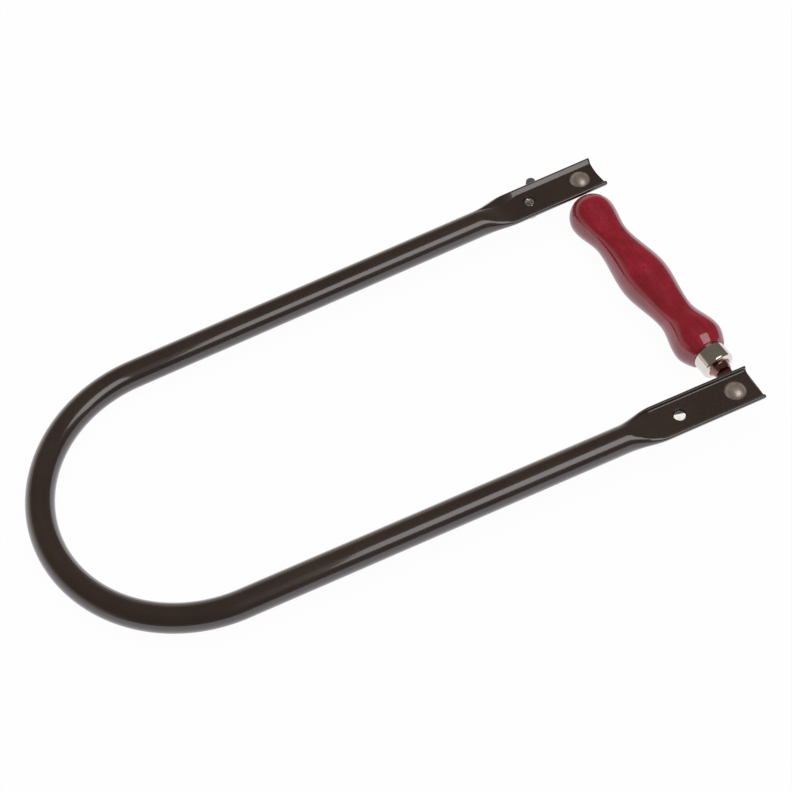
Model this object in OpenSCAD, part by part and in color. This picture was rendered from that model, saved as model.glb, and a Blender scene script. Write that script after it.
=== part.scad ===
// Fret saw: a tube bent to a U and pressed flat at both ends, a screw clamp under
// each end for the blade, and a turned wooden handle that folds in on the lower rivet.
// +X points from the bow to the tips, +Y to the upper arm, +Z up, towards the lips
// of the pressed ends. The origin is the centre of the bow's arc, in the tube's mid plane.

/* [Bow] */
// Outer diameter of the tube
tube_d = 12; // [10:0.5:14]
// Wall of the tube
tube_wall = 1; // [0.8:0.1:1.6]
// Radius of the bow, to the tube's centre line
bow_r = 60.5; // [57:0.5:64]
// Length of each arm, from the end of the bow to the tip
arm_len = 227.1; // [180:0.1:280]
// Angle by which each arm leans outwards
splay = 1.13; // [0.6:0.01:1.6]

/* [Pressed ends] */
// Width of the pressed channel
flat_w = 17.2; // [16:0.1:19]
// Length of the pressed channel
flat_len = 45; // [42:0.5:60]
// Length over which the round tube turns into the channel
blend_len = 17; // [14:1:30]
// Thickness of the web, two walls pressed together
web_t = 2.2; // [1.8:0.1:2.6]
// Height of the lips above the web
lip_h = 1.4; // [1.4:0.1:2.6]
// Thickness of the lips
lip_t = 1.4; // [1.2:0.1:1.8]
// Rounding of the lips' edges
lip_round = 0.4; // [0.2:0.1:0.4]
// Fillet between web and lip
lip_fillet = 0.9; // [0.4:0.1:0.9]

/* [Rivets] */
// Diameter of the rivets' shanks
rivet_d = 5; // [4:0.1:5.6]
// Diameter of the dome heads
dome_d = 9.2; // [8:0.1:9.6]
// Height of the dome heads
dome_h = 2.5; // [1.6:0.1:3]
// Diameter of the tails under the arms
tail_d = 7; // [6.4:0.1:8]
// Height of the tails
tail_h = 1.2; // [0.8:0.1:1.6]
// Distance of the rivets from the tips
rivet_back = 9.5; // [8.6:0.1:11]
// Diameter of the washers under the tails
rivet_washer_d = 8.6; // [8.2:0.1:9.4]
// Thickness of the washers under the tails
rivet_washer_t = 0.8; // [0.6:0.1:1.2]

/* [Blade clamps] */
// Distance of the studs from the rivets
stud_back = 26; // [24:0.5:28]
// Diameter of the studs
stud_d = 5; // [4.4:0.1:5.2]
// Width of the jaws
jaw_w = 12; // [11.6:0.1:13]
// Thickness of the jaws
jaw_t = 1.5; // [1.2:0.1:2]
// Gap between web and jaw, which takes the blade
blade_gap = 0.35; // [0.3:0.05:0.5]
// Distance of the jaws' ends from the tips
jaw_inset = 1.2; // [0.6:0.1:2]
// Diameter of the collar that seats a stud under the web
collar_d = 7; // [6.2:0.1:7.2]
// Height of the collar
collar_h = 1.2; // [0.8:0.1:1.4]
// Diameter of the thrust washers
thrust_d = 10; // [9.6:0.1:10.6]
// Thickness of the thrust washers
thrust_t = 0.8; // [0.6:0.1:1.2]
// Diameter of the lever nuts' hubs
hub_d = 8.6; // [8:0.1:9]
// Height of the lever nuts' hubs
hub_h = 2.4; // [2.2:0.1:3]
// Thickness of the levers
lever_t = 2; // [1.6:0.1:2.2]
// Distance by which a folded lever's round end lies past the start of the channel
lever_over = 6.8; // [4:0.1:7.6]
// Width of the levers' round ends
lever_tip_w = 4.2; // [3.6:0.1:5]
// Width of the levers at the hub
lever_root_w = 6.4; // [5:0.1:7]
// Turn of the upper lever from the line to the tip, as it was left
upper_lever_turn = 58; // [40:1:75]

/* [Handle] */
// Gap that the folded grip leaves to the upper arm
fold_gap = 0.4; // [0.4:0.1:6]
// Diameter of the grip's middle and lower swells
swell_d = 22.2; // [20:0.1:24]
// Diameter of the grip's waists
waist_d = 16.3; // [15:0.1:18]
// Diameter of the round butt
butt_d = 21; // [19:0.1:22]
// Diameter of the grip's end at the ferrule
rim_d = 16.6; // [16:0.1:18]
// Depth of the handle's centre line under the tube's mid plane
handle_drop = 5; // [4.9:0.1:5.6]
// Sideways offset of the handle's centre line from the rivet
handle_offset = 4; // [3:0.1:4.4]
// Angle by which the folded handle leans towards the bow
fold_lean = 3.7; // [2:0.1:4.5]
// Outer diameter of the ferrule
ferrule_d = 14.4; // [13.4:0.1:15]
// Length of the ferrule
ferrule_len = 8; // [7:0.1:9]
// Wall of the ferrule
ferrule_wall = 0.7; // [0.5:0.1:0.9]
// Rounding of the ferrule's end
ferrule_round = 1.3; // [0.8:0.1:1.4]
// Length of the tang's polished neck
neck_len = 3; // [2.5:0.1:4]
// Diameter of the neck where it stops against the ferrule
neck_top_d = 10.6; // [9.6:0.1:11]
// Diameter of the neck at the eye
neck_end_d = 7.7; // [7:0.1:7.8]
// Distance of the neck's end from the rivet
neck_reach = 12.6; // [12.4:0.1:13.6]
// Diameter of the tang's eye
eye_d = 10; // [9:0.1:10.6]
// Thickness of the tang's eye and bar
tang_t = 2.2; // [1.8:0.1:2.4]
// Width of the tang's bar
bar_w = 6.6; // [5.6:0.1:7]
// Diameter of the spike inside the grip
spike_d = 5; // [4:0.1:6]
// Length of the spike inside the grip
spike_len = 34; // [20:1:45]

/* [Hidden] */
$fn = 64;

// Signs of the two arms
upper = 1;
lower = -1;

// Clearances and the overrun of cuts
hole_play = 0.1;      // radial, rivet in the web, and washers on rivet and stud
stud_play = 0.2;      // radial, stud in the web
hinge_play = 0.05;    // radial, tang's eye on its rivet and lever nut on its stud
jaw_play = 0.2;       // radial, jaw on its rivet
collar_play = 0.4;    // radial, jaw round the stud's collar
seat_gap = 0.15;      // between a jaw and the washer under it
tang_gap = 0.3;       // between the lower jaw and the tang's eye
face_gap = 0.05;      // between flat faces that turn on each other
overrun = 1;
weld = 0.02;
lap = 0.5;

// Stations along an arm, from the end of the bow
flat_s = arm_len - flat_len;
tube_s = flat_s - blend_len;
rivet_s = arm_len - rivet_back;
stud_s = rivet_s - stud_back;
lever_len = stud_s - flat_s + lever_over;

// Levels. The channel is centred on the tube's mid plane
web_under = -(web_t + lip_h) / 2;
web_top = web_under + web_t;
lip_top = web_top + lip_h;

// Rounding of the channel's outer edges. It rises as high as the fillet inside
edge_round = web_t + lip_fillet;
jaw_top = web_under - blade_gap;
jaw_under = jaw_top - jaw_t;
thrust_top = jaw_under - seat_gap;
hub_top = thrust_top - thrust_t - face_gap;
hub_under = hub_top - hub_h;
stud_under = hub_under - stud_d / 8;
stud_top = web_top - web_t / 8;
tang_top = jaw_under - tang_gap;
tang_under = tang_top - tang_t;

// Steps of the loft between tube and channel
blend_steps = 12;
flat_steps = 4;

frame_colour = [0.22, 0.17, 0.15];
zinc_colour = [0.72, 0.72, 0.74];
wood_colour = [0.55, 0.08, 0.15];

// Moves from arm coordinates (along the arm, outwards, up) to the saw
module on_upper_arm() {
    rotate([0, 0, splay])
        translate([0, bow_r, 0])
            children();
}

module on_arm(side) {
    if (side > 0) on_upper_arm() children();
    else mirror([0, 1, 0]) on_upper_arm() children();
}

// Ring of the given diameters between two levels
module ring(outer_d, inner_d, low, high) {
    translate([0, 0, low])
        difference() {
            cylinder(d = outer_d, h = high - low);
            translate([0, 0, -overrun]) cylinder(d = inner_d, h = high - low + 2 * overrun);
        }
}

// Half of a dome's section, seated at level 0
module dome_section(d, h) {
    dome_r = (h * h + d * d / 4) / (2 * h);
    intersection() {
        translate([0, h - dome_r]) circle(dome_r);
        square([d, h]);
    }
}

// The pressed section, as drawn across the arm
module channel_section() {
    edge = flat_w / 2;
    for (side = [upper, lower])
        mirror([side < 0 ? 1 : 0, 0]) {
            difference() {
                union() {
                    translate([-overrun, web_under]) square([edge - edge_round + overrun, edge_round]);
                    intersection() {
                        translate([edge - edge_round, web_under + edge_round]) circle(edge_round);
                        translate([edge - edge_round, web_under]) square(edge_round);
                    }
                    translate([edge - lip_t, web_under + edge_round])
                        square([lip_t, lip_top - lip_round - web_under - edge_round]);
                }
                translate([-2 * overrun, web_top])
                    square([edge - lip_t - lip_fillet + 2 * overrun, lip_h + overrun]);
                translate([edge - lip_t - lip_fillet, web_top + lip_fillet]) circle(lip_fillet);
                translate([edge - lip_t - lip_fillet, web_top + lip_fillet])
                    square([lip_fillet, lip_h + overrun]);
            }
            translate([edge - lip_t + lip_round, lip_top - 2 * lip_round])
                square([lip_t - 2 * lip_round, 2 * lip_round]);
            for (v = [edge - lip_t + lip_round, edge - lip_round])
                translate([v, lip_top - lip_round]) circle(lip_round);
        }
}

// Point on an arc
function arc_point(centre, r, a) = centre + r * [cos(a), sin(a)];

// The same section as points, from the middle of the underside round one lip to the
// middle of the web's top, drawn in by the weld so that it ends inside the channel
edge_mid = [flat_w / 2 - edge_round, web_under + edge_round];
lip_r_in = lip_round - weld;
lip_outer_mid = [flat_w / 2 - lip_round, lip_top - lip_round];
lip_inner_mid = [flat_w / 2 - lip_t + lip_round, lip_top - lip_round];
fillet_mid = [flat_w / 2 - lip_t - lip_fillet, web_top + lip_fillet];
corner_step = 45;
fillet_r_out = (lip_fillet + weld) / cos(corner_step / 2);
edge_angles = [-67.5, -45, -22.5, 0];
corner_angles = [0, corner_step, 90];
half_section = concat(
    [for (i = [0 : flat_steps]) [edge_mid[0] * i / flat_steps, web_under + weld]],
    [for (a = edge_angles) arc_point(edge_mid, edge_round - weld, a)],
    [for (a = corner_angles) arc_point(lip_outer_mid, lip_r_in, a)],
    [for (a = corner_angles) arc_point(lip_inner_mid, lip_r_in, 90 + a)],
    [for (a = corner_angles) arc_point(fillet_mid, fillet_r_out, -a)],
    [for (i = [flat_steps - 1 : -1 : 0]) [fillet_mid[0] * i / flat_steps, web_top - weld]]
);
half_last = len(half_section) - 1;
lip_tip = flat_steps + len(edge_angles) + len(corner_angles);

// The point of the round tube that each point of the section comes from
function tube_angle(i) = i <= lip_tip
    ? -90 + 90 * i / lip_tip
    : 90 * (i - lip_tip) / (half_last - lip_tip);
function tube_point(i) = arc_point([0, 0], tube_d / 2 - weld, tube_angle(i));
function ease(t) = t * t * (3 - 2 * t);
function mixed(i, k) = (1 - k) * tube_point(i) + k * half_section[i];
function section_ring(k) = concat(
    [for (i = [0 : half_last]) mixed(i, k)],
    [for (i = [half_last - 1 : -1 : 1]) [-mixed(i, k)[0], mixed(i, k)[1]]]
);

// Loft from the round tube to the pressed channel. Each end is closed by strips from
// the outer line of the section to its inner line
module blend() {
    ring_len = 2 * half_last;
    stations = concat([tube_s - lap],
        [for (i = [0 : blend_steps]) tube_s + blend_len * i / blend_steps],
        [flat_s + lap]);
    shares = concat([0], [for (i = [0 : blend_steps]) ease(i / blend_steps)], [1]);
    last = len(stations) - 1;
    points = [for (j = [0 : last]) for (p = section_ring(shares[j])) [stations[j], p[0], p[1]]];
    sides = [for (j = [0 : last - 1]) for (i = [0 : ring_len - 1])
        let (n = (i + 1) % ring_len, a = j * ring_len, b = a + ring_len)
        for (f = [[a + i, b + i, b + n], [a + i, b + n, a + n]]) f];
    half_cap = [for (i = [0 : (half_last - 3) / 2])
        for (f = [[i, i + 1, half_last - i - 1], [i, half_last - i - 1, half_last - i]]) f];
    start_cap = concat(half_cap,
        [for (f = half_cap) [for (i = [2 : -1 : 0]) (ring_len - f[i]) % ring_len]]);
    end_cap = [for (f = start_cap) [for (i = [2 : -1 : 0]) last * ring_len + f[i]]];
    polyhedron(points, concat(sides, start_cap, end_cap), convexity = 6);
}

// The hollow of the tube where it closes towards the channel
module closing_hollow() {
    hollow_d = tube_d - 2 * tube_wall - 2 * weld;
    slit_w = flat_w - 4 * tube_wall;
    slit_t = web_t / 8;
    hull() {
        translate([tube_s - lap, 0, 0]) rotate([0, 90, 0]) cylinder(d = hollow_d, h = lap, $fn = 32);
        translate([flat_s - blend_len / 4, -slit_w / 2, web_under + (web_t - slit_t) / 2])
            cube([slit_t, slit_w, slit_t]);
    }
}

// A tube or its hollow, from arm to arm. A short sleeve, a weld's width larger,
// covers each place where the bow runs into an arm
module u_bend(d) {
    rotate([0, 0, 90 + splay])
        rotate_extrude(angle = 180 - 2 * splay, $fn = 128)
            translate([bow_r, 0]) circle(d = d);
    for (side = [upper, lower])
        on_arm(side) rotate([0, 90, 0]) {
            cylinder(d = d, h = tube_s);
            translate([0, 0, -lap / 2]) cylinder(d = d + 2 * weld, h = lap);
        }
}

module arm_hole(side, s, d) {
    on_arm(side)
        translate([s, 0, web_under - overrun])
            cylinder(d = d, h = web_t + lip_h + 2 * overrun);
}

module bow_frame() {
    color(frame_colour)
        difference() {
            union() {
                u_bend(tube_d);
                for (side = [upper, lower])
                    on_arm(side) {
                        blend();
                        translate([flat_s, 0, 0]) rotate([90, 0, 90])
                            linear_extrude(flat_len) channel_section();
                    }
            }
            u_bend(tube_d - 2 * tube_wall);
            for (side = [upper, lower]) {
                on_arm(side) closing_hollow();
                arm_hole(side, rivet_s, rivet_d + 2 * hole_play);
                arm_hole(side, stud_s, stud_d + 2 * stud_play);
            }
        }
}

// Dome-headed rivet, headed over a washer below
module rivet(side, washer_top) {
    tail_top = washer_top - rivet_washer_t;
    color(frame_colour)
        on_arm(side) translate([rivet_s, 0, 0])
            rotate_extrude() {
                translate([0, web_top]) dome_section(dome_d, dome_h);
                translate([0, tail_top]) square([rivet_d / 2, web_top - tail_top]);
                translate([0, tail_top]) mirror([0, 1]) dome_section(tail_d, tail_h);
            }
}

module rivet_washer(side, washer_top) {
    color(zinc_colour)
        on_arm(side) translate([rivet_s, 0, 0])
            ring(rivet_washer_d, rivet_d + 2 * hole_play, washer_top - rivet_washer_t, washer_top);
}

upper_washer_top = jaw_under - seat_gap;
lower_washer_top = tang_under - face_gap;

// Threaded stud, headed into the web, with a collar under it
module stud(side) {
    color(zinc_colour)
        on_arm(side) translate([stud_s, 0, 0])
            rotate_extrude() {
                translate([0, stud_under]) square([stud_d / 2, stud_top - stud_d / 8 - stud_under]);
                translate([0, stud_top - stud_d / 8]) dome_section(stud_d, stud_d / 8);
                translate([0, web_under - collar_h]) square([collar_d / 2, collar_h]);
            }
}

// Flat plate that pinches the blade against the web
module jaw(side) {
    jaw_end = arm_len - jaw_inset;
    color(zinc_colour)
        on_arm(side) translate([0, 0, jaw_under])
            difference() {
                linear_extrude(jaw_t) {
                    translate([stud_s, 0]) circle(d = jaw_w);
                    translate([stud_s, -jaw_w / 2]) square([jaw_end - stud_s, jaw_w]);
                }
                translate([rivet_s, 0, -overrun])
                    cylinder(d = rivet_d + 2 * jaw_play, h = jaw_t + 2 * overrun);
                translate([stud_s, 0, -overrun])
                    cylinder(d = collar_d + 2 * collar_play, h = jaw_t + 2 * overrun);
            }
}

module thrust_washer(side) {
    color(zinc_colour)
        on_arm(side) translate([stud_s, 0, 0])
            ring(thrust_d, stud_d + 2 * hole_play, thrust_top - thrust_t, thrust_top);
}

// Nut with one arm; the turn is measured outwards from the line to the tip
module lever(side, turn) {
    lever_top = hub_top - (hub_h - lever_t) / 2;
    color(zinc_colour)
        on_arm(side) translate([stud_s, 0, 0]) rotate([0, 0, turn])
            difference() {
                union() {
                    translate([0, 0, hub_under]) cylinder(d = hub_d, h = hub_h);
                    translate([0, 0, lever_top - lever_t]) linear_extrude(lever_t) {
                        polygon([[0, -lever_root_w / 2], [lever_len, -lever_tip_w / 2],
                                 [lever_len, lever_tip_w / 2], [0, lever_root_w / 2]]);
                        translate([lever_len, 0]) circle(d = lever_tip_w);
                    }
                }
                translate([0, 0, hub_under - overrun])
                    cylinder(d = stud_d + 2 * hinge_play, h = hub_h + 2 * overrun);
            }
}

// Handle coordinates: origin on the rivet, +X along the handle, +Y to its inner side
module on_handle() {
    pivot = [rivet_s * cos(splay) - bow_r * sin(splay), -rivet_s * sin(splay) - bow_r * cos(splay), 0];
    translate(pivot) rotate([0, 0, 90 + fold_lean]) children();
}

// The handle's own centre line
module on_handle_axis() {
    on_handle() translate([0, -handle_offset, -handle_drop]) rotate([0, 90, 0]) children();
}

ferrule_s = neck_reach + neck_len;
grip_s = ferrule_s + ferrule_len;

// The folded grip ends in a half round, which stops short of the upper arm's rounded edge.
// Seen along the arm, the two rounds' centres lie that far apart
round_to_edge = sqrt(pow(butt_d / 2 + fold_gap + edge_round, 2) - pow(handle_drop + edge_mid[1], 2));
rivet_to_edge = bow_r * (1 + cos(2 * splay)) + rivet_s * sin(2 * splay) - edge_mid[0];
round_s = (rivet_to_edge - round_to_edge - handle_offset * sin(fold_lean - splay)) / cos(fold_lean - splay);
grip_end = round_s + butt_d / 2;
grip_len = grip_end - grip_s;
tenon_r = ferrule_d / 2 - ferrule_wall - hinge_play;
spike_end = grip_s + spike_len;

// Forged tang: eye, flat bar, flared round neck and the spike that holds the grip
module handle_tang() {
    neck_bar = neck_reach + neck_len / 4;
    color(zinc_colour) {
        difference() {
            union() {
                on_handle() translate([0, 0, tang_under]) linear_extrude(tang_t) {
                    circle(d = eye_d);
                    polygon([[0, eye_d / 2], [neck_bar, -handle_offset + bar_w / 2],
                             [neck_bar, -handle_offset - bar_w / 2], [0, -eye_d / 2]]);
                }
                on_handle_axis() rotate_extrude()
                    polygon([[0, neck_reach], [neck_end_d / 2, neck_reach],
                             [neck_top_d / 2, ferrule_s], [spike_d / 2, ferrule_s],
                             [spike_d / 2, spike_end], [0, spike_end]]);
            }
            on_handle() translate([0, 0, tang_under - overrun])
                cylinder(d = rivet_d + 2 * hinge_play, h = tang_t + 2 * overrun);
        }
    }
}

// Pressed cup on the grip's tenon, open towards the grip
module handle_ferrule() {
    cup_r = ferrule_d / 2;
    color(zinc_colour)
        on_handle_axis() rotate_extrude()
            difference() {
                union() {
                    translate([0, ferrule_s]) square([cup_r - ferrule_round, ferrule_len]);
                    translate([0, ferrule_s + ferrule_round])
                        square([cup_r, ferrule_len - ferrule_round]);
                    translate([cup_r - ferrule_round, ferrule_s + ferrule_round]) circle(ferrule_round);
                }
                translate([0, ferrule_s + ferrule_wall])
                    square([cup_r - ferrule_wall, ferrule_len]);
                translate([0, ferrule_s - overrun])
                    square([spike_d / 2 + hinge_play, ferrule_len + overrun]);
            }
}

// Turned grip. The shares of its length at which its swells and waists lie, and the
// diameters there, are eased from one to the next. The butt closes with a half round
grip_shares = [0, 0.08, 0.24, 0.48, 0.735, 1 - butt_d / 2 / grip_len];
grip_diameters = [rim_d, swell_d, waist_d, swell_d, waist_d, butt_d];
wave_steps = 8;
butt_steps = 10;
function grip_wave(i, t) =
    let (k = i == 0 ? sin(90 * t) : ease(t))
    [((1 - k) * grip_diameters[i] + k * grip_diameters[i + 1]) / 2,
     grip_s + grip_len * ((1 - t) * grip_shares[i] + t * grip_shares[i + 1])];
module grip_section() {
    polygon(concat(
        [[0, grip_s]],
        [for (i = [0 : len(grip_shares) - 2]) for (j = [0 : wave_steps - 1]) grip_wave(i, j / wave_steps)],
        [for (a = [0 : 90 / butt_steps : 90])
            [butt_d / 2 * cos(a), grip_end - butt_d / 2 + butt_d / 2 * sin(a)]]
    ));
}

module handle_grip() {
    color(wood_colour)
        on_handle_axis() rotate_extrude()
            difference() {
                union() {
                    grip_section();
                    translate([0, ferrule_s + ferrule_wall + hinge_play])
                        square([tenon_r, ferrule_len]);
                }
                translate([0, ferrule_s - overrun])
                    square([spike_d / 2 + hinge_play, spike_end + face_gap - ferrule_s + overrun]);
            }
}

bow_frame();
rivet(upper, upper_washer_top);  // upper_rivet
rivet(lower, lower_washer_top);  // lower_rivet
rivet_washer(upper, upper_washer_top);  // upper_rivet_washer
rivet_washer(lower, lower_washer_top);  // lower_rivet_washer
stud(upper);  // upper_stud
stud(lower);  // lower_stud
jaw(upper);  // upper_jaw
jaw(lower);  // lower_jaw
thrust_washer(upper);  // upper_thrust_washer
thrust_washer(lower);  // lower_thrust_washer
lever(upper, upper_lever_turn);  // upper_lever
lever(lower, 180);  // lower_lever
handle_tang();
handle_ferrule();
handle_grip();
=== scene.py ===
import math

import bmesh
import bpy
from mathutils import Matrix, Quaternion, Vector


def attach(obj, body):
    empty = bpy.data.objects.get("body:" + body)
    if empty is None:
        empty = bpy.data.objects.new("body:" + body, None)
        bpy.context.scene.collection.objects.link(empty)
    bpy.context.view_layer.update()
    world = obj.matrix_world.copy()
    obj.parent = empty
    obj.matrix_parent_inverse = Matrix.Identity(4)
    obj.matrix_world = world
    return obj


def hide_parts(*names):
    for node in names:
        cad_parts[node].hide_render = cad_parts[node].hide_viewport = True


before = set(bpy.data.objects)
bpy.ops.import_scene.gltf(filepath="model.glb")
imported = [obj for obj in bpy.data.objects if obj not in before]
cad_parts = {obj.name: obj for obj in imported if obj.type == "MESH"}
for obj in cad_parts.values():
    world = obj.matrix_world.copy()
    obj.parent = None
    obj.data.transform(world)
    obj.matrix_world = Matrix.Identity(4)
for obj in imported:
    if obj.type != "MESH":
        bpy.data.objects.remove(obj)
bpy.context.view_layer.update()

# The bow frame is one steel tube, 12 mm across, bent to a U. Its ends are pressed flat,
# folded up along both edges into shallow channels, and drilled. The whole frame is
# dipped in dark brown enamel and stoved, which rounds every edge a little.
MM = 0.001
UPPER, LOWER = 1, -1
tube_r = 6.0
bow_r = 60.5
splay = math.radians(1.13)
arm_len, flat_len, blend_len = 227.1, 45.0, 17.0
flat_w, web_t = 17.2, 2.2
lip_h, lip_t, lip_round, lip_fillet = 1.4, 1.4, 0.4, 0.9
lip_soft, edge_round = 0.9, 2.6
# The outer lip's inner side stands at these angles to the web, in the channel and in the
# transition behind it: 90 is upright.
lip_tilt = {UPPER: (37, 20), LOWER: (90, 90)}
crest_turn = 45
rivet_back, stud_back = 9.5, 26.0
rivet_r, rivet_hole_r = 2.5, 2.6
stud_r, stud_hole_r = 2.5, 2.7
hole_flare = 0.25
tip_hollow, hollow_len = 0.9, 5.0
tip_insets = [(0, 0.35), (0.1, 0.12), (0.35, 0), (1.2, 0)]
slit_len, slit_t = 1.6, 0.14
overrun, merge_gap = 1.0, 0.0001
flat_s = arm_len - flat_len
tube_s = flat_s - blend_len
rivet_s = arm_len - rivet_back
stud_s = rivet_s - stud_back
web_under = -(web_t + lip_h) / 2
web_top = web_under + web_t
lip_top = web_top + lip_h
web_steps, edge_steps, lip_steps, fillet_steps = 10, 10, 5, 6
bow_steps, blend_steps, arm_steps, flat_steps = 96, 32, 12, 8
lip_tip = web_steps + edge_steps + lip_steps + 2
half_last = 2 * lip_tip + fillet_steps - edge_steps


def srgb(code):
    """A hex colour as linear red, green, blue and alpha."""
    parts = [int(code[i:i + 2], 16) / 255 for i in (1, 3, 5)]
    return (*[p / 12.92 if p <= 0.04045 else ((p + 0.055) / 1.055) ** 2.4 for p in parts], 1.0)


def add(tree, kind, inputs=None, **settings):
    """Adds a node, sets its properties, and fills or links its inputs."""
    node = tree.nodes.new(kind)
    for name, value in settings.items():
        setattr(node, name, value)
    for name, value in (inputs or {}).items():
        if isinstance(value, bpy.types.NodeSocket):
            tree.links.new(value, node.inputs[name])
        else:
            node.inputs[name].default_value = value
    return node


def stops(ramp, *pairs):
    """Gives a colour ramp its places and colours, and returns its colour output."""
    elements = ramp.color_ramp.elements
    while len(elements) < len(pairs):
        elements.new(1.0)
    for element, (place, colour) in zip(elements, pairs):
        element.position = place
        element.color = srgb(colour)
    return ramp.outputs["Color"]


def per(size):
    """The scale of a pattern whose marks are about this many millimetres apart."""
    return 1 / (size * MM)


def new_material(name):
    """An empty material with its node tree and Object coordinates."""
    material = bpy.data.materials.new(name)
    material.use_nodes = True
    tree = material.node_tree
    tree.nodes.clear()
    return material, tree, add(tree, "ShaderNodeTexCoord").outputs["Object"]


def stoved_enamel():
    """Stoved enamel, dipped: a glossy, nearly black brown that lies in a faint orange peel."""
    cloud_size, peel_size, peel_depth = 24, 1.1, 0.012
    material, tree, coords = new_material("stoved_brown_enamel")
    cloud = add(tree, "ShaderNodeTexNoise", {"Vector": coords, "Scale": per(cloud_size), "Detail": 3.0})
    peel = add(tree, "ShaderNodeTexNoise", {"Vector": coords, "Scale": per(peel_size), "Detail": 2.0})
    relief = add(tree, "ShaderNodeBump", {"Height": peel.outputs["Fac"], "Distance": peel_depth * MM})
    shade = add(tree, "ShaderNodeValToRGB", {"Fac": cloud.outputs["Fac"]})
    gloss = add(tree, "ShaderNodeMapRange",
                {"Value": cloud.outputs["Fac"], "To Min": 0.26, "To Max": 0.34})
    shader = add(tree, "ShaderNodeBsdfPrincipled", {
        "Base Color": stops(shade, (0.3, "#291C17"), (0.7, "#32241D")),
        "Roughness": gloss.outputs["Result"],
        "Coat Weight": 1.0,
        "Coat Roughness": 0.07,
        "Coat IOR": 1.65,
        "Normal": relief.outputs["Normal"],
    })
    add(tree, "ShaderNodeOutputMaterial", {"Surface": shader.outputs["BSDF"]})
    return material


enamel = stoved_enamel()


def arc(centre, r, start, end, steps):
    """Points on an arc, both ends included."""
    angles = [math.radians(start + (end - start) * i / steps) for i in range(steps + 1)]
    return [(centre[0] + r * math.cos(a), centre[1] + r * math.sin(a)) for a in angles]


def half_outline(inset, tilt):
    """Half of the channel's outline, from the middle of its underside over the lip to its web."""
    edge = flat_w / 2
    bend = edge - edge_round
    ridge = edge - (lip_soft + lip_t - lip_round) / 2
    steep = math.radians(tilt)
    brink = edge - lip_t + lip_round * (1 - math.sin(steep))
    drop = lip_h - (lip_round + lip_fillet) * (1 - math.cos(steep))
    root = brink - drop / math.tan(steep) - lip_fillet * math.sin(steep)
    return [
        *[(bend * i / web_steps, web_under + inset) for i in range(web_steps)],
        *arc((bend, web_under + edge_round), edge_round - inset, -90, 0, edge_steps),
        *arc((edge - lip_soft, lip_top - lip_soft), lip_soft - inset, 0, 90, lip_steps),
        (ridge, lip_top - inset),
        *arc((edge - lip_t + lip_round, lip_top - lip_round), lip_round - inset, 90, 90 + tilt, lip_steps),
        *arc((root, web_top + lip_fillet), lip_fillet + inset, tilt - 90, -90, fillet_steps),
        *[(root * i / web_steps, web_top - inset) for i in range(web_steps - 1, -1, -1)],
    ]


def ease(t):
    """Slow at both ends."""
    return t * t * (3 - 2 * t)


def half_section(pressed, inset, tilt):
    """Half of the section between round tube, at 0, and channel, at 1, as (outwards, up).

    The crest of the lip grows out of the tube's shoulder."""
    half = []
    for i, (v, z) in enumerate(half_outline(inset, tilt)):
        share = (i - lip_tip) / (lip_tip if i <= lip_tip else half_last - lip_tip)
        a = math.radians(crest_turn + share * (crest_turn + 90 if share < 0 else 90 - crest_turn))
        half.append((v * pressed + tube_r * math.cos(a) * (1 - pressed),
                     z * pressed + tube_r * math.sin(a) * (1 - pressed)))
    return half


def ring_points(pressed, inset, tilt):
    """The whole section. Only the outer lip can have a tilted inner side."""
    inner = half_section(pressed, inset, 90)
    return half_section(pressed, inset, tilt) + [(-v, z) for v, z in inner[-2:0:-1]]


def on_arm(side):
    """Turns arm coordinates, which are along, outwards and up, into the saw's own."""
    arm = Matrix.Rotation(splay, 4, "Z") @ Matrix.Translation((0, bow_r, 0))
    return arm if side == UPPER else Matrix.Scale(-1, 4, (0, 1, 0)) @ arm


def on_bow(turn):
    """The same for a section of the bow at that angle round its centre."""
    return Matrix.Rotation(turn - math.pi / 2, 4, "Z") @ Matrix.Translation((0, bow_r, 0))


def arm_stations(side):
    """The sections of one arm, from its tip to the bow."""
    arm = on_arm(side)
    tilt, blend_tilt = lip_tilt[side]
    made = [(arm, arm_len - back, 1.0, inset, tilt) for back, inset in tip_insets]
    made += [(arm, flat_s + flat_len * i / flat_steps, 1.0, 0, tilt) for i in range(flat_steps - 1, 0, -1)]
    made += [(arm, tube_s + blend_len * i / blend_steps, ease(i / blend_steps), 0, blend_tilt)
             for i in range(blend_steps, -1, -1)]
    return made + [(arm, tube_s * i / arm_steps, 0.0, 0, 90) for i in range(arm_steps - 1, -1, -1)]


def frame_stations():
    """Every section of the frame, from the upper tip to the lower one."""
    span = math.pi - 2 * splay
    bow = [(on_bow(math.pi / 2 + splay + span * i / bow_steps), 0.0, 0.0, 0, 90)
           for i in range(1, bow_steps)]
    return arm_stations(UPPER) + bow + arm_stations(LOWER)[::-1]


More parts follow.
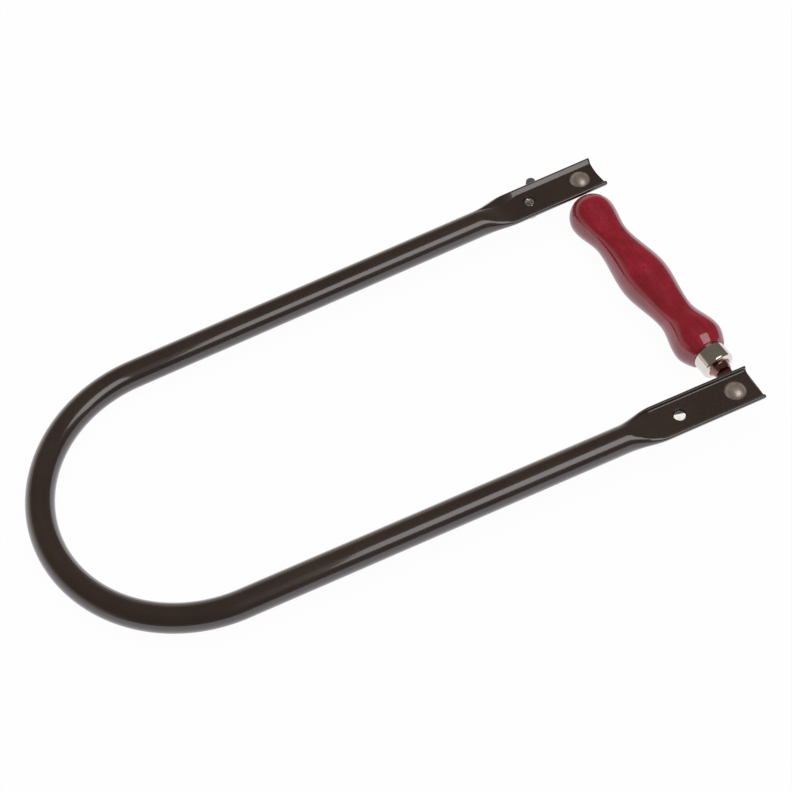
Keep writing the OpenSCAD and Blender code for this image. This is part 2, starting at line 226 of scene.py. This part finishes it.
def frame_mesh():
    """The tube as one skin, closed at both pressed tips."""
    bm = bmesh.new()
    place = bm.verts.layers.int.new("place")
    ring = bmesh.ops.create_circle(bm, segments=2 * half_last, radius=1)["verts"]
    for i, vert in enumerate(ring):
        vert[place] = i
    edges = bm.edges[:]
    for count, (matrix, s, pressed, inset, tilt) in enumerate(frame_stations()):
        if count:
            grown = bmesh.ops.extrude_edge_only(bm, edges=edges)["geom"]
            ring = [g for g in grown if isinstance(g, bmesh.types.BMVert)]
            new = set(ring)
            edges = [g for g in grown if isinstance(g, bmesh.types.BMEdge) and new.issuperset(g.verts)]
        points = ring_points(pressed, inset, tilt)
        cut_back = tip_hollow * max(0, 1 - (arm_len - s) / hollow_len)
        for vert in ring:
            v, z = points[vert[place]]
            vert.co = matrix @ Vector((s - cut_back * max(0, 1 - (2 * v / flat_w) ** 2), v, z))
    open_edges = [e for e in bm.edges if e.is_boundary]
    caps = bmesh.ops.holes_fill(bm, edges=open_edges, sides=0)["faces"]
    bmesh.ops.triangulate(bm, faces=caps, ngon_method="EAR_CLIP")
    return bm


def lathe(profile, matrix, steps=96):
    """A turned form about the Z axis, from points of radius and height, set by a matrix."""
    bm = bmesh.new()
    verts = [bm.verts.new((r, 0, z)) for r, z in profile]
    edges = [bm.edges.new(pair) for pair in zip(verts, verts[1:])]
    if profile[0][0] > 0 and profile[-1][0] > 0:
        edges.append(bm.edges.new((verts[-1], verts[0])))
    bmesh.ops.spin(bm, geom=verts + edges, cent=(0, 0, 0), axis=(0, 0, 1), dvec=(0, 0, 0),
                   angle=2 * math.pi, steps=steps, use_merge=True)
    bmesh.ops.remove_doubles(bm, verts=bm.verts, dist=merge_gap)
    bmesh.ops.transform(bm, matrix=matrix, verts=bm.verts)
    return bm


def rough_piece(name, bm):
    """A mesh in millimetres becomes an object in metres, with its faces outwards."""
    bmesh.ops.transform(bm, matrix=Matrix.Scale(MM, 4), verts=bm.verts)
    bmesh.ops.recalc_face_normals(bm, faces=bm.faces)
    mesh = bpy.data.meshes.new(name)
    bm.to_mesh(mesh)
    bm.free()
    piece = bpy.data.objects.new(name, mesh)
    bpy.context.collection.objects.link(piece)
    return piece


def settle(piece):
    """Applies a piece's modifiers."""
    graph = bpy.context.evaluated_depsgraph_get()
    mesh = bpy.data.meshes.new_from_object(piece.evaluated_get(graph))
    piece.modifiers.clear()
    piece.data = mesh


def combine(piece, operation, *meshes):
    """Cuts or joins meshes to a piece."""
    for bm in meshes:
        other = rough_piece("tool", bm)
        change = piece.modifiers.new(operation, "BOOLEAN")
        change.operation = operation
        change.solver = "EXACT"
        change.object = other
        settle(piece)
        bpy.data.objects.remove(other)


def finish_piece(piece, node, body, material, round_edges=0.0, smooth=35):
    """Rounds a piece's edges, shades it, and lets it stand for its CAD node."""
    if round_edges:
        rounding = piece.modifiers.new("rounding", "BEVEL")
        rounding.width = round_edges * MM
        rounding.segments = 3
        rounding.limit_method = "ANGLE"
        rounding.angle_limit = math.radians(smooth)
        settle(piece)
    piece.data.polygons.foreach_set("use_smooth", [True] * len(piece.data.polygons))
    piece.data.set_sharp_from_angle(angle=math.radians(smooth))
    piece.data.materials.clear()
    piece.data.materials.append(material)
    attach(piece, body)
    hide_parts(node)


def hole(side, s, r):
    """A punch for a hole through the web, flared where the enamel rounds its edges."""
    over = 3 * overrun
    brim = r + hole_flare
    profile = [(0, web_under - over), (r + over, web_under - over), (brim, web_under),
               *arc((brim, web_under + hole_flare), -hole_flare, 90, 0, 3)[1:],
               *arc((brim, web_top - hole_flare), -hole_flare, 0, -90, 3)[:-1],
               (brim, web_top), (r + over, web_top + over), (0, web_top + over)]
    return lathe(profile, on_arm(side) @ Matrix.Translation((s, 0, 0)))


def tip_slit(side):
    """The fine slit that the two walls of the flattened tube leave at the tip."""
    bm = bmesh.new()
    bmesh.ops.create_cube(bm, size=1)
    middle = Matrix.Translation((arm_len, 0, (web_top + web_under) / 2))
    shape = Matrix.Diagonal((slit_len + 2 * tip_hollow, flat_w - 2 * edge_round, slit_t, 1))
    bmesh.ops.transform(bm, matrix=on_arm(side) @ middle @ shape, verts=bm.verts)
    return bm


bow_frame = rough_piece("bow_frame_tube", frame_mesh())
for side in (UPPER, LOWER):
    combine(bow_frame, "DIFFERENCE", hole(side, rivet_s, rivet_hole_r), hole(side, stud_s, stud_hole_r),
            tip_slit(side))
finish_piece(bow_frame, "bow_frame", "frame", enamel)

# The studs are M5 screws of zinc plated steel, thread down, each headed into the hole of
# its arm on a collar under the web. The upper head was peened over with a hammer, and
# the lower one was filed off at a slant.
blade_gap, jaw_t, seat_gap = 0.35, 1.5, 0.15
thrust_t, face_gap = 0.8, 0.05
hub_h, collar_r, collar_h, collar_edge = 2.4, 3.5, 1.2, 0.15
jaw_under = web_under - blade_gap - jaw_t
thrust_top = jaw_under - seat_gap
hub_top = thrust_top - thrust_t - face_gap
hub_under = hub_top - hub_h
stud_under = hub_under - stud_r / 4
stud_top = web_top - web_t / 8
thread_pitch, thread_depth, thread_bevel, thread_play = 0.8, 0.45, 0.5, 0.05
head_round, dish_r, dish_floor_r, dish_rim = 0.5, 2.2, 0.3, 0.03
dish_depth = {UPPER: 0.3, LOWER: 0.0}
slant_start, slant_lean, slant_skew = -0.6, math.radians(25), -0.1


def zinc_plate(name, dents):
    """Bright zinc plate: bluish white metal, a little cloudy, over fine grit and hammer dents.

    Real grit is finer and is drawn this coarse to show. The dents' depth is in millimetres."""
    cloud_size, hammer_size = 4, 1.6
    grit_size, grit_depth = 0.25, 0.006
    material, tree, coords = new_material(name)
    cloud = add(tree, "ShaderNodeTexNoise", {"Vector": coords, "Scale": per(cloud_size), "Detail": 5.0})
    grit = add(tree, "ShaderNodeTexNoise", {"Vector": coords, "Scale": per(grit_size), "Detail": 2.0})
    shade = add(tree, "ShaderNodeValToRGB", {"Fac": cloud.outputs["Fac"]})
    gloss = add(tree, "ShaderNodeMapRange",
                {"Value": cloud.outputs["Fac"], "To Min": 0.22, "To Max": 0.38})
    hammer = add(tree, "ShaderNodeTexNoise", {"Vector": coords, "Scale": per(hammer_size), "Detail": 1.0})
    dented = add(tree, "ShaderNodeBump", {"Height": hammer.outputs["Fac"], "Distance": dents * MM})
    relief = add(tree, "ShaderNodeBump", {"Height": grit.outputs["Fac"], "Distance": grit_depth * MM,
                                          "Normal": dented.outputs["Normal"]})
    shader = add(tree, "ShaderNodeBsdfPrincipled", {
        "Base Color": stops(shade, (0.3, "#B9BBBD"), (0.55, "#CFD0CF"), (0.75, "#C7C2B4")),
        "Metallic": 1.0,
        "Roughness": gloss.outputs["Result"],
        "Normal": relief.outputs["Normal"],
    })
    add(tree, "ShaderNodeOutputMaterial", {"Surface": shader.outputs["BSDF"]})
    return material


zinc = zinc_plate("bright_zinc_plate", 0.0)
peened_zinc = zinc_plate("peened_zinc_plate", 1.6)


def stud_profile(dish):
    """Half section of a stud: thread, collar, and the headed end in the web, with its dish."""
    top = hub_top - face_gap
    start = stud_under + thread_bevel
    crest_r = stud_r - thread_play
    low = [(0, stud_under), (stud_r - thread_bevel, stud_under), (crest_r, start - thread_play)]
    for i in range(int((top - start) / thread_pitch)):
        z = start + thread_pitch * i
        low += [(stud_r - thread_depth, z + thread_pitch / 2), (crest_r, z + thread_pitch)]
    collar_under = web_under - collar_h
    rim = stud_top - dish_rim
    return [*low, (stud_r, top), (stud_r, collar_under), (collar_r - collar_edge, collar_under),
            (collar_r, collar_under + collar_edge), (collar_r, web_under), (stud_r, web_under),
            (stud_r, stud_top - head_round),
            *arc((stud_r - head_round, stud_top - head_round), head_round, 0, 75, 5),
            (dish_r, rim), (dish_floor_r, rim - dish), (0, rim - dish_rim - dish)]


def file_slant(bm, matrix):
    """Takes more than half of a stud's head off at a slant, down towards the arm's outer side."""
    start = matrix @ Vector((0, slant_start, stud_top))
    facing = matrix.to_3x3() @ Vector((slant_skew, math.sin(slant_lean), math.cos(slant_lean)))
    bmesh.ops.bisect_plane(bm, geom=bm.verts[:] + bm.edges[:] + bm.faces[:],
                           plane_co=start, plane_no=facing, clear_outer=True)
    bmesh.ops.holes_fill(bm, edges=[e for e in bm.edges if e.is_boundary], sides=0)


for side, word in ((UPPER, "upper"), (LOWER, "lower")):
    at_stud = on_arm(side) @ Matrix.Translation((stud_s, 0, 0))
    bm = lathe(stud_profile(dish_depth[side]), at_stud, steps=64)
    if side == LOWER:
        file_slant(bm, at_stud)
    stud = rough_piece(word + "_stud_screw", bm)
    plating = peened_zinc if side == UPPER else zinc
    finish_piece(stud, word + "_stud", "frame", plating, smooth=20)

# The jaws are flat plates of plated steel under the pressed ends. Each hangs loosely
# on its rivet and round its stud's collar, and pinches the blade against the web.
jaw_w, jaw_inset, jaw_corner, jaw_edge = 12.0, 1.2, 0.8, 0.15
jaw_play, collar_play = 0.2, 0.4


def plate(outline, low, high, matrix):
    """A flat plate of that outline between two levels."""
    bm = bmesh.new()
    verts = [bm.verts.new((x, y, low)) for x, y in outline]
    face = bm.faces.new(verts)
    grown = bmesh.ops.extrude_face_region(bm, geom=[face])["geom"]
    lifted = [g for g in grown if isinstance(g, bmesh.types.BMVert)]
    bmesh.ops.translate(bm, vec=(0, 0, high - low), verts=lifted)
    bmesh.ops.transform(bm, matrix=matrix, verts=bm.verts)
    return bm


def drill(r, low, high, matrix):
    """A drill for a round hole through all that lies between two levels."""
    low, high = low - overrun, high + overrun
    return lathe([(0, low), (r, low), (r, high), (0, high)], matrix, steps=64)


for side, word in ((UPPER, "upper"), (LOWER, "lower")):
    arm = on_arm(side)
    faces = (jaw_under, jaw_under + jaw_t)
    end = arm_len - jaw_inset - jaw_corner
    side_v = jaw_w / 2 - jaw_corner
    outline = [*arc((stud_s, 0), jaw_w / 2, 90, 270, 24),
               *arc((end, -side_v), jaw_corner, -90, 0, 5),
               *arc((end, side_v), jaw_corner, 0, 90, 5)]
    jaw = rough_piece(word + "_jaw_plate", plate(outline, *faces, arm))
    combine(jaw, "DIFFERENCE",
            drill(rivet_r + jaw_play, *faces, arm @ Matrix.Translation((rivet_s, 0, 0))),
            drill(collar_r + collar_play, *faces, arm @ Matrix.Translation((stud_s, 0, 0))))
    finish_piece(jaw, word + "_jaw", word + "_jaw", zinc, round_edges=jaw_edge)

# A plain washer, stamped from steel and zinc plated, lies loose under each jaw. It takes
# the thrust of the lever nut, so that the nut turns without dragging the jaw.
thrust_r, hole_play = 5.0, 0.1
washer_soft, washer_burr = 0.2, 0.05


def washer_profile(outer, inner, low, high):
    """Half section of a stamped washer: rounded on the die side, sharp on the other."""
    soft, burr = washer_soft, washer_burr
    return [(inner, low), (outer - burr, low), (outer, low + burr), (outer, high - soft),
            *arc((outer - soft, high - soft), soft, 0, 90, 3)[1:], (inner + soft / 2, high),
            (inner, high - soft / 2)]


for side, word in ((UPPER, "upper"), (LOWER, "lower")):
    profile = washer_profile(thrust_r, stud_r + hole_play, thrust_top - thrust_t, thrust_top)
    at_stud = on_arm(side) @ Matrix.Translation((stud_s, 0, 0))
    ring = rough_piece(word + "_thrust_ring", lathe(profile, at_stud, steps=72))
    finish_piece(ring, word + "_thrust_washer", "frame", zinc)

# The lever nuts are drop forged with one arm, tapped M5 and zinc plated. A turn of the
# arm screws the nut up its stud and closes the jaw. The upper one was left swung out.
hub_r, hub_edge, hinge_play = 4.3, 0.3, 0.05
lever_t, lever_len, lever_tip_r, lever_root_w, lever_edge = 2.0, 16.3, 2.1, 6.4, 0.2
lever_turn = {UPPER: math.radians(58), LOWER: math.pi}

for side, word in ((UPPER, "upper"), (LOWER, "lower")):
    at_nut = on_arm(side) @ Matrix.Translation((stud_s, 0, 0)) @ Matrix.Rotation(lever_turn[side], 4, "Z")
    hub = [(0, hub_under), (hub_r - hub_edge, hub_under), (hub_r, hub_under + hub_edge),
           (hub_r, hub_top - hub_edge), (hub_r - hub_edge, hub_top), (0, hub_top)]
    taper = math.degrees(math.asin((lever_root_w / 2 - lever_tip_r) / lever_len))
    outline = [(0, -lever_root_w / 2), *arc((lever_len, 0), lever_tip_r, taper - 90, 90 - taper, 16),
               (0, lever_root_w / 2)]
    top = hub_top - (hub_h - lever_t) / 2
    lever = rough_piece(word + "_lever_nut", lathe(hub, at_nut, steps=64))
    combine(lever, "UNION", plate(outline, top - lever_t, top, at_nut))
    combine(lever, "DIFFERENCE", drill(stud_r + hinge_play, hub_under, hub_top, at_nut))
    finish_piece(lever, word + "_lever", word + "_lever", zinc, round_edges=lever_edge)

# The handle's tang is forged and polished steel, gone brown: a flat eye that turns on
# the lower rivet, a short bar, a round neck that flares, and a spike inside the grip.
# The neck's axis, which is also the grip's, runs beside the eye's middle and lower down.
tang_gap, tang_t, eye_r, bar_w = 0.3, 2.2, 5.0, 6.6
handle_drop, handle_offset, fold_lean = 5.0, 4.0, math.radians(3.7)
neck_reach, neck_len, neck_waist_r, neck_end_r = 12.6, 3.0, 4.15, 3.85
neck_flare, neck_edge, tang_edge = 0.9, 0.3, 0.2
spike_r, spike_len, spike_point = 2.5, 34.0, 4.0
ferrule_len = 8.0
tang_top = jaw_under - tang_gap
tang_under = tang_top - tang_t
ferrule_s = neck_reach + neck_len
grip_s = ferrule_s + ferrule_len
pivot = on_arm(LOWER) @ Vector((rivet_s, 0, 0))
on_handle = Matrix.Translation(pivot) @ Matrix.Rotation(math.pi / 2 + fold_lean, 4, "Z")
on_axis = (on_handle @ Matrix.Translation((0, -handle_offset, -handle_drop))
           @ Matrix.Rotation(math.pi / 2, 4, "Y"))


def polished_metal(name, dark, light):
    """Metal polished on a wheel: a warm mirror in two shades, with faint polishing marks.

    Real marks are hair fine and are drawn this coarse to show."""
    cloud_size, mark_size, mark_depth = 6, 0.5, 0.003
    material, tree, coords = new_material(name)
    cloud = add(tree, "ShaderNodeTexNoise", {"Vector": coords, "Scale": per(cloud_size), "Detail": 4.0})
    marks = add(tree, "ShaderNodeTexNoise", {"Vector": coords, "Scale": per(mark_size), "Detail": 3.0})
    relief = add(tree, "ShaderNodeBump", {"Height": marks.outputs["Fac"], "Distance": mark_depth * MM})
    gloss = add(tree, "ShaderNodeMapRange",
                {"Value": cloud.outputs["Fac"], "To Min": 0.06, "To Max": 0.14})
    shade = add(tree, "ShaderNodeValToRGB", {"Fac": cloud.outputs["Fac"]})
    shader = add(tree, "ShaderNodeBsdfPrincipled", {
        "Base Color": stops(shade, (0.3, dark), (0.7, light)),
        "Metallic": 1.0,
        "Roughness": gloss.outputs["Result"],
        "Normal": relief.outputs["Normal"],
    })
    add(tree, "ShaderNodeOutputMaterial", {"Surface": shader.outputs["BSDF"]})
    return material


browned = polished_metal("browned_bare_steel", "#8C645A", "#A07A6E")
bar_end = neck_reach + neck_len / 4
eye_outline = [*arc((0, 0), eye_r, 90, 270, 32), (bar_end, -handle_offset - bar_w / 2),
               (bar_end, -handle_offset + bar_w / 2)]
neck_top_r = neck_waist_r + neck_flare
neck = [(0, neck_reach), (neck_end_r - neck_edge, neck_reach), (neck_end_r, neck_reach + neck_edge),
        *arc((neck_top_r, ferrule_s - neck_flare), neck_flare, 165, 95, 8),
        (neck_top_r, ferrule_s), (spike_r, ferrule_s),
        (spike_r, grip_s + spike_len - spike_point), (0, grip_s + spike_len)]
tang = rough_piece("handle_tang_forging", plate(eye_outline, tang_under, tang_top, on_handle))
combine(tang, "UNION", lathe(neck, on_axis, steps=72))
combine(tang, "DIFFERENCE", drill(rivet_r + hinge_play, tang_under, tang_top, on_handle))
finish_piece(tang, "handle_tang", "handle", browned, round_edges=tang_edge)

# The ferrule is a cup pressed from thin steel, nickel plated and polished. It is open
# towards the grip, sits on the grip's tenon and keeps the wood from splitting.
ferrule_r, ferrule_wall, ferrule_round = 7.2, 0.7, 1.3
inner_r, inner_round = ferrule_r - ferrule_wall, 0.4
mouth_r, mouth = spike_r + hinge_play, 0.15
cup = [(mouth_r, ferrule_s + ferrule_wall), (mouth_r, ferrule_s),
       *arc((ferrule_r - ferrule_round, ferrule_s + ferrule_round), ferrule_round, -90, 0, 8),
       (ferrule_r, grip_s - mouth), (ferrule_r - mouth, grip_s), (inner_r, grip_s),
       *arc((inner_r - inner_round, ferrule_s + ferrule_wall + inner_round), inner_round, 0, -90, 4)]
nickel = polished_metal("polished_nickel_plate", "#DED8CE", "#EAE6DF")
ferrule = rough_piece("handle_ferrule_cup", lathe(cup, on_axis, steps=128))
finish_piece(ferrule, "handle_ferrule", "handle", nickel)

# The grip is turned from beech between centres, with two swells, two waists and a round
# butt. It is stained crimson, so the pores show darker, and lacquered to a high gloss.
grip_len, rim_r, rim_edge, swell_r, waist_r, butt_r = 98.3, 8.3, 0.3, 11.1, 8.15, 10.5
swell_shares = [0, 0.08, 0.24, 0.48, 0.735, 1 - butt_r / grip_len]
swell_radii = [rim_r, swell_r, waist_r, swell_r, waist_r, butt_r]
wave_steps, butt_steps = 14, 16
tenon_r = ferrule_r - ferrule_wall - hinge_play


def grip_profile():
    """Half section of the grip, from its bore over the tenon to the pole of the butt."""
    tenon_s = ferrule_s + ferrule_wall + hinge_play
    deep = grip_s + spike_len + hinge_play
    points = [(0, deep), (spike_r + hinge_play, deep), (spike_r + hinge_play, tenon_s),
              (tenon_r, tenon_s), (tenon_r, grip_s), (rim_r - rim_edge, grip_s)]
    for i in range(len(swell_shares) - 1):
        for j in range(1 if i == 0 else 0, wave_steps):
            t = j / wave_steps
            k = ease(t) if i else math.sin(t * math.pi / 2)
            share = swell_shares[i] + (swell_shares[i + 1] - swell_shares[i]) * t
            points.append((swell_radii[i] + (swell_radii[i + 1] - swell_radii[i]) * k,
                           grip_s + grip_len * share))
    butt = (0, grip_s + grip_len - butt_r)
    return points + arc(butt, butt_r, 0, 90, butt_steps)


def stained_beech():
    """Crimson stained beech under clear lacquer: streaks and short dark flecks along the grain."""
    streak_size, blotch_size = 1.5, 6
    fleck_size, fleck_depth = 0.55, 0.02
    stretches = (("streak", 14), ("fleck", 3.5), ("blotch", 1.4))
    material, tree, coords = new_material("crimson_stained_beech")
    along = add(tree, "ShaderNodeMapping",
                {"Vector": coords, "Location": -pivot * MM}, vector_type="POINT")
    turned = add(tree, "ShaderNodeMapping",
                 {"Vector": along.outputs["Vector"], "Rotation": (0, 0, -math.pi / 2 - fold_lean)})
    lengthwise = {name: add(tree, "ShaderNodeMapping",
                            {"Vector": turned.outputs["Vector"], "Scale": (1 / stretch, 1, 1)})
                  for name, stretch in stretches}
    streak = add(tree, "ShaderNodeTexNoise",
                 {"Vector": lengthwise["streak"].outputs["Vector"], "Scale": per(streak_size),
                  "Detail": 6.0, "Roughness": 0.62, "Distortion": 0.35})
    blotch = add(tree, "ShaderNodeTexNoise",
                 {"Vector": lengthwise["blotch"].outputs["Vector"], "Scale": per(blotch_size),
                  "Detail": 4.0})
    fleck = add(tree, "ShaderNodeTexNoise",
                {"Vector": lengthwise["fleck"].outputs["Vector"], "Scale": per(fleck_size), "Detail": 2.0})
    mixed = add(tree, "ShaderNodeMix",
                {"Factor": 0.5, "A": streak.outputs["Fac"], "B": blotch.outputs["Fac"]}, data_type="FLOAT")
    shade = add(tree, "ShaderNodeValToRGB", {"Fac": mixed.outputs["Result"]})
    wood = stops(shade, (0.36, "#82041B"), (0.47, "#8E0621"), (0.56, "#990828"), (0.66, "#A51832"))
    pores = add(tree, "ShaderNodeMapRange",
                {"Value": fleck.outputs["Fac"], "From Min": 0.30, "From Max": 0.42})
    tint = add(tree, "ShaderNodeMix",
               {"Factor": pores.outputs["Result"], "A": srgb("#6E0618"), "B": wood}, data_type="RGBA")
    relief = add(tree, "ShaderNodeBump",
                 {"Height": fleck.outputs["Fac"], "Distance": fleck_depth * MM, "Strength": 0.5})
    shader = add(tree, "ShaderNodeBsdfPrincipled", {
        "Base Color": tint.outputs["Result"],
        "Roughness": 0.5,
        "Specular IOR Level": 0.15,
        "Coat Weight": 1.0,
        "Coat Roughness": 0.08,
        "Coat IOR": 1.8,
        "Normal": relief.outputs["Normal"],
    })
    add(tree, "ShaderNodeOutputMaterial", {"Surface": shader.outputs["BSDF"]})
    return material


beech = stained_beech()
grip = rough_piece("handle_grip_turned", lathe(grip_profile(), on_axis, steps=128))
finish_piece(grip, "handle_grip", "handle", beech)

# The rivets are of browned steel with a satin finish, with domed heads on top of the pressed
# ends. Each goes through the web, the jaw and a round washer, under which its tail is
# headed over. The lower one goes through the tang's eye too and is the handle's pivot.
dome_r, dome_h, tail_r, tail_h = 4.6, 2.5, 3.5, 1.2
rivet_washer_r, rivet_washer_t = 4.3, 0.8
washer_top = {UPPER: jaw_under - seat_gap, LOWER: tang_under - face_gap}


def satin_steel():
    """Steel tumbled to a satin and browned: a dull metal with a soft, wide highlight."""
    cloud_size, grit_size, grit_depth = 1.6, 0.3, 0.003
    material, tree, coords = new_material("satin_browned_steel")
    cloud = add(tree, "ShaderNodeTexNoise", {"Vector": coords, "Scale": per(cloud_size), "Detail": 5.0})
    grit = add(tree, "ShaderNodeTexNoise", {"Vector": coords, "Scale": per(grit_size), "Detail": 2.0})
    relief = add(tree, "ShaderNodeBump", {"Height": grit.outputs["Fac"], "Distance": grit_depth * MM})
    shade = add(tree, "ShaderNodeValToRGB", {"Fac": cloud.outputs["Fac"]})
    shader = add(tree, "ShaderNodeBsdfPrincipled", {
        "Base Color": stops(shade, (0.3, "#BAADA3"), (0.7, "#CBBFB6")),
        "Metallic": 0.85,
        "Roughness": 0.42,
        "Normal": relief.outputs["Normal"],
    })
    add(tree, "ShaderNodeOutputMaterial", {"Surface": shader.outputs["BSDF"]})
    return material


satin = satin_steel()


def dome(r, h, seat, steps):
    """Half section of a rivet's dome, from its foot to its pole."""
    ball = (h * h + r * r) / (2 * h)
    foot = math.degrees(math.acos(r / ball))
    return arc((0, seat + h - ball), ball, foot, 90, steps)


for side, word in ((UPPER, "upper"), (LOWER, "lower")):
    at_rivet = on_arm(side) @ Matrix.Translation((rivet_s, 0, 0))
    top = washer_top[side]
    tail_top = top - rivet_washer_t
    tail = [(r, 2 * tail_top - z) for r, z in dome(tail_r, tail_h, tail_top, 8)[::-1]]
    profile = [*tail, (rivet_r, tail_top), (rivet_r, web_top), *dome(dome_r, dome_h, web_top, 20)]
    rivet = rough_piece(word + "_rivet_domed", lathe(profile, at_rivet, steps=96))
    finish_piece(rivet, word + "_rivet", "frame", satin)
    profile = washer_profile(rivet_washer_r, rivet_r + hole_play, top - rivet_washer_t, top)
    ring = rough_piece(word + "_rivet_ring", lathe(profile, at_rivet, steps=72))
    finish_piece(ring, word + "_rivet_washer", "frame", zinc)

# The saw lies on a large table of white card, some metres wide. It rests on the bow and
# on the handle's swells, so the table's plane slopes a little in the saw's own frame.
table_size = 6.0
bow_rest = Vector((-bow_r, 0, -tube_r)) * MM
swell_rest = Vector((pivot.x, 0, -handle_drop - swell_r)) * MM
slope = math.atan2(bow_rest.z - swell_rest.z, swell_rest.x - bow_rest.x)
bm = bmesh.new()
bmesh.ops.create_grid(bm, x_segments=1, y_segments=1, size=table_size / 2)
on_table = Matrix.Translation(bow_rest) @ Matrix.Rotation(slope, 4, "Y")
bmesh.ops.transform(bm, matrix=on_table, verts=bm.verts)
table_mesh = bpy.data.meshes.new("table_top")
bm.to_mesh(table_mesh)
bm.free()
table_top = bpy.data.objects.new("table_top", table_mesh)
bpy.context.collection.objects.link(table_top)


def white_table():
    """White card: a faint shadow shows on it, and it reads as plain white in the picture.

    What the saw mirrors of it dims a little far past the upper arm, between two distances."""
    turn, bright_to, dim_from = 0.6, 0.18, 0.8
    white_share = 0.97
    material, tree, coords = new_material("white_card")
    path = add(tree, "ShaderNodeLightPath")
    card = add(tree, "ShaderNodeBsdfDiffuse", {"Color": srgb("#F4F4F6")})
    apart = add(tree, "ShaderNodeSeparateXYZ", {"Vector": coords})
    reach = add(tree, "ShaderNodeMath",
                {0: apart.outputs["X"], 1: turn, 2: apart.outputs["Y"]}, operation="MULTIPLY_ADD")
    near = add(tree, "ShaderNodeMapRange",
               {"Value": reach.outputs["Value"], "From Min": bright_to, "From Max": dim_from,
                "To Min": 1.0, "To Max": 0.6},
               interpolation_type="SMOOTHSTEP")
    seen = add(tree, "ShaderNodeEmission", {"Color": srgb("#FFFFFF"), "Strength": 1.0})
    mirrored = add(tree, "ShaderNodeEmission",
                   {"Color": srgb("#FBF8FF"), "Strength": near.outputs["Result"]})
    plain = add(tree, "ShaderNodeMixShader",
                {"Fac": white_share, 1: card.outputs["BSDF"], 2: seen.outputs["Emission"]})
    first = add(tree, "ShaderNodeMixShader",
                {"Fac": path.outputs["Is Camera Ray"], 1: card.outputs["BSDF"],
                 2: plain.outputs["Shader"]})
    second = add(tree, "ShaderNodeMixShader",
                 {"Fac": path.outputs["Is Glossy Ray"], 1: first.outputs["Shader"],
                  2: mirrored.outputs["Emission"]})
    add(tree, "ShaderNodeOutputMaterial", {"Surface": second.outputs["Shader"]})
    return material


table_mesh.materials.append(white_table())

# The room round the table is dim and warm, and a little lighter low down past the upper
# arm. A softbox past the lower arm lights the saw, and a large one over it fills in.
room_light, low_light = 0.16, 0.6
low_from, low_to = 0.14, 0.45
past_turn, past_from, past_to = -0.8, 0.1, 0.8
world = bpy.data.worlds.new("studio")
bpy.context.scene.world = world
world.use_nodes = True
room = world.node_tree
room.nodes.clear()
path = add(room, "ShaderNodeLightPath")
coords = add(room, "ShaderNodeTexCoord").outputs["Generated"]
apart = add(room, "ShaderNodeSeparateXYZ", {"Vector": coords})
low = add(room, "ShaderNodeMapRange",
          {"Value": apart.outputs["Z"], "From Min": low_from, "From Max": low_to,
           "To Min": low_light, "To Max": 0.0},
          interpolation_type="SMOOTHSTEP")
across = add(room, "ShaderNodeMath", {0: apart.outputs["X"], 1: past_turn, 2: apart.outputs["Y"]},
             operation="MULTIPLY_ADD")
past = add(room, "ShaderNodeMapRange",
           {"Value": across.outputs["Value"], "From Min": past_from, "From Max": past_to},
           interpolation_type="SMOOTHSTEP")
glow = add(room, "ShaderNodeMath",
           {0: low.outputs["Result"], 1: past.outputs["Result"], 2: room_light},
           operation="MULTIPLY_ADD")
dim = add(room, "ShaderNodeBackground", {"Color": srgb("#F5E8DA"), "Strength": glow.outputs["Value"]})
bright = add(room, "ShaderNodeBackground", {"Color": srgb("#FFFFFF"), "Strength": 1.0})
both = add(room, "ShaderNodeMixShader",
           {"Fac": path.outputs["Is Camera Ray"], 1: dim.outputs["Background"],
            2: bright.outputs["Background"]})
add(room, "ShaderNodeOutputWorld", {"Surface": both.outputs["Shader"]})
lit_place = Vector((0.08, 0, 0))


def softbox(name, azimuth, elevation, distance, width, height, roll, watts, mirrored=True):
    """A flat lamp turned to the saw, in metres. Azimuth 0 is +X and 90 is +Y."""
    lamp = bpy.data.lights.new(name, "AREA")
    lamp.energy = watts
    lamp.shape = "RECTANGLE"
    lamp.size = width
    lamp.size_y = height
    box = bpy.data.objects.new(name, lamp)
    bpy.context.collection.objects.link(box)
    a, e = math.radians(azimuth), math.radians(elevation)
    back = Vector((math.cos(a) * math.cos(e), math.sin(a) * math.cos(e), math.sin(e)))
    box.location = lit_place + back * distance
    box.rotation_mode = "QUATERNION"
    rolled = Quaternion((0, 0, 1), math.radians(roll))
    box.rotation_quaternion = (-back).to_track_quat("-Z", "Y") @ rolled
    box.visible_glossy = mirrored


softbox("key_softbox", azimuth=-55, elevation=50, distance=0.9, width=0.58, height=0.56, roll=-33,
        watts=1.95)
softbox("ceiling_fill", azimuth=70, elevation=80, distance=1.6, width=1.4, height=1.4, roll=0,
        watts=16.0, mirrored=False)

# The camera stands where the photograph was taken, over the lower arm's side. Its place is
# in millimetres, and its angles are in degrees.
photo_px, focal_px, sensor_w = 792, 1631.7, 36.0
camera_place = Vector((-41.2, -352.6, 563.2)) * MM
camera_turn, camera_tilt, camera_roll = -20.82, 90 - 56.31, -5.93
camera = bpy.data.objects.new("camera", bpy.data.cameras.new("camera"))
bpy.context.collection.objects.link(camera)
camera.data.sensor_width = sensor_w
camera.data.lens = sensor_w * focal_px / photo_px
camera.matrix_world = (Matrix.Translation(camera_place)
                       @ Matrix.Rotation(math.radians(camera_turn), 4, "Z")
                       @ Matrix.Rotation(math.radians(camera_tilt), 4, "X")
                       @ Matrix.Rotation(math.radians(camera_roll), 4, "Z"))
bpy.context.scene.camera = camera
bpy.context.scene.view_settings.view_transform = "Standard"
